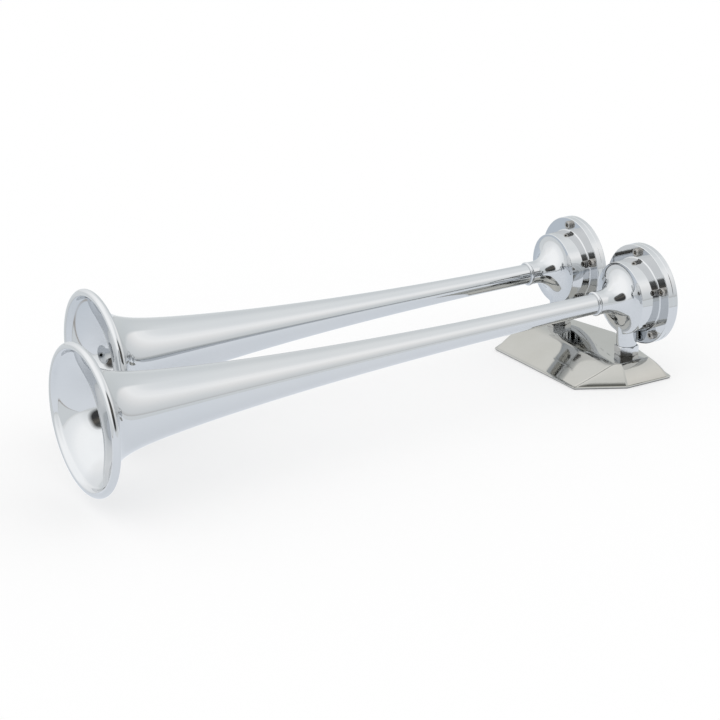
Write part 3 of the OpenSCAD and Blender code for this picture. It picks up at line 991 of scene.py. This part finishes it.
def world():
    """White to all but mirrored rays. Those see the studio: a bright wall in front, grey walls
    behind, a lit panel at the back with crisp sides and a soft top, a shaded wall on the left, and
    two bright patches high up."""
    made = bpy.data.worlds.new("studio")
    bpy.context.scene.world = made
    made.use_nodes = True
    made.node_tree.nodes.clear()
    paint = Nodes(made.node_tree)
    ray = paint.node("ShaderNodeTexCoord").outputs["Generated"]
    paint.coords = ray
    rise = paint.dot((0, 0, 1))
    # a place on a ramp is half of one plus the sine of the elevation
    share = paint.place(rise)
    level = paint.node("ShaderNodeVectorMath", operation="MULTIPLY")
    level.inputs[1].default_value = (1, 1, 0)
    paint.link(ray, level.inputs[0])
    unit = paint.node("ShaderNodeVectorMath", operation="NORMALIZE")
    paint.link(level.outputs["Vector"], unit.inputs[0])
    paint.coords = unit.outputs["Vector"]

    def toward(azimuth):
        a = math.radians(azimuth)
        return paint.dot((math.sin(a), -math.cos(a), 0))

    def slanted(azimuth, elevation):
        a, e = math.radians(azimuth), math.radians(elevation)
        return paint.dot((math.sin(a) * math.cos(e), -math.cos(a) * math.cos(e), math.sin(e)))

    def mask(value, start, gain):
        return paint.math("MULTIPLY", paint.math("SUBTRACT", value, start), gain, True)

    walls = paint.ramp(share, [
        (0.0, (0.66, 0.68, 0.70)),
        (0.488, (0.50, 0.51, 0.51)),
        (0.52, (0.565, 0.59, 0.595)),
        (0.69, (0.61, 0.635, 0.645)),
        (0.85, (0.68, 0.70, 0.71)),
        (1.0, (0.86, 0.87, 0.875)),
    ])
    front = paint.ramp(share, [
        (0.0, (0.66, 0.68, 0.70)),
        (0.488, (0.70, 0.71, 0.71)),
        (0.52, (0.83, 0.845, 0.855)),
        (0.60, (0.88, 0.89, 0.90)),
        (0.71, (0.98, 0.98, 0.98)),
        (0.85, (1.0, 1.0, 1.0)),
        (0.95, (0.97, 0.97, 0.975)),
        (1.0, (0.86, 0.87, 0.875)),
    ])
    panel = paint.ramp(share, [
        (0.0, (0.66, 0.68, 0.70)),
        (0.488, (0.50, 0.50, 0.50)),
        (0.53, (0.635, 0.65, 0.66)),
        (0.62, (0.70, 0.71, 0.715)),
        (0.72, (0.815, 0.81, 0.805)),
        (0.80, (0.92, 0.915, 0.91)),
        (0.88, (0.86, 0.865, 0.87)),
    ])
    facing = mask(toward(FRONT_AZIMUTH), -0.25, 1.2)
    studio = paint.blend(facing, walls, front)
    side = mask(toward(PANEL_AZIMUTH), PANEL_SIDE, PANEL_SIDE_GAIN)
    top = mask(PANEL_TOP, rise, PANEL_TOP_GAIN)
    studio = paint.blend(paint.math("MULTIPLY", side, top), studio, panel)
    left = mask(toward(LEFT_AZIMUTH), LEFT_SIDE, LEFT_GAIN)
    low = paint.spread(rise, 1, 0, 0.5, 0.8)
    shaded = paint.blend(LEFT_SHADE, studio, (0, 0, 0))
    studio = paint.blend(paint.math("MULTIPLY", left, low), studio, shaded)
    paint.coords = ray
    lamp = paint.spread(slanted(*LAMP), 0, 1, 0.955, 0.98)
    studio = paint.blend(lamp, studio, (0.95, 0.95, 0.945))
    roof = paint.spread(slanted(*ROOF), 0, 1, 0.90, 0.97)
    studio = paint.blend(paint.math("MULTIPLY", roof, ROOF_SHARE), studio, WHITE)
    glossy = paint.node("ShaderNodeLightPath").outputs["Is Glossy Ray"]
    background = paint.node("ShaderNodeBackground")
    paint.link(paint.blend(glossy, WHITE, studio), background.inputs["Color"])
    gain = paint.math("MULTIPLY", glossy, MIRRORED_GAIN - 1)
    paint.link(paint.math("ADD", gain, 1), background.inputs["Strength"])
    output = paint.node("ShaderNodeOutputWorld")
    paint.link(background.outputs["Background"], output.inputs["Surface"])


def camera():
    """Camera at the photograph's own place and lens."""
    az, el = CAMERA_AZIMUTH, CAMERA_ELEVATION
    back = Vector((math.sin(az) * math.cos(el), -math.cos(az) * math.cos(el), math.sin(el)))
    right = (-back).cross(Vector((0, 0, 1))).normalized()
    up = right.cross(-back)
    c, s = math.cos(CAMERA_ROLL), math.sin(CAMERA_ROLL)
    right, up = right * c + up * s, up * c - right * s
    place = CAMERA_AIM + back * CAMERA_DISTANCE + right * CAMERA_ASIDE + up * CAMERA_UP
    data = bpy.data.cameras.new("camera")
    data.sensor_width = SENSOR
    data.lens = SENSOR * FOCAL_SHARE
    data.clip_start = 0.05
    data.clip_end = 30
    made = bpy.data.objects.new("camera", data)
    bpy.context.scene.collection.objects.link(made)
    turn = Matrix((right, up, back)).transposed()
    made.matrix_world = Matrix.Translation(place) @ turn.to_4x4()
    bpy.context.scene.camera = made
    bpy.context.view_layer.update()


bpy.context.scene.view_settings.view_transform = "Standard"
camera()
world()
floor()
tent_opening()
for horn in SIDE:
    trumpet(horn)
    neck_ring(horn)
    chamber(horn)
    back_cover(horn)
    cover_screws(horn)
    upper_nut(horn)
    inlet_stud(horn)
base_cover()
dress_hidden_nodes()
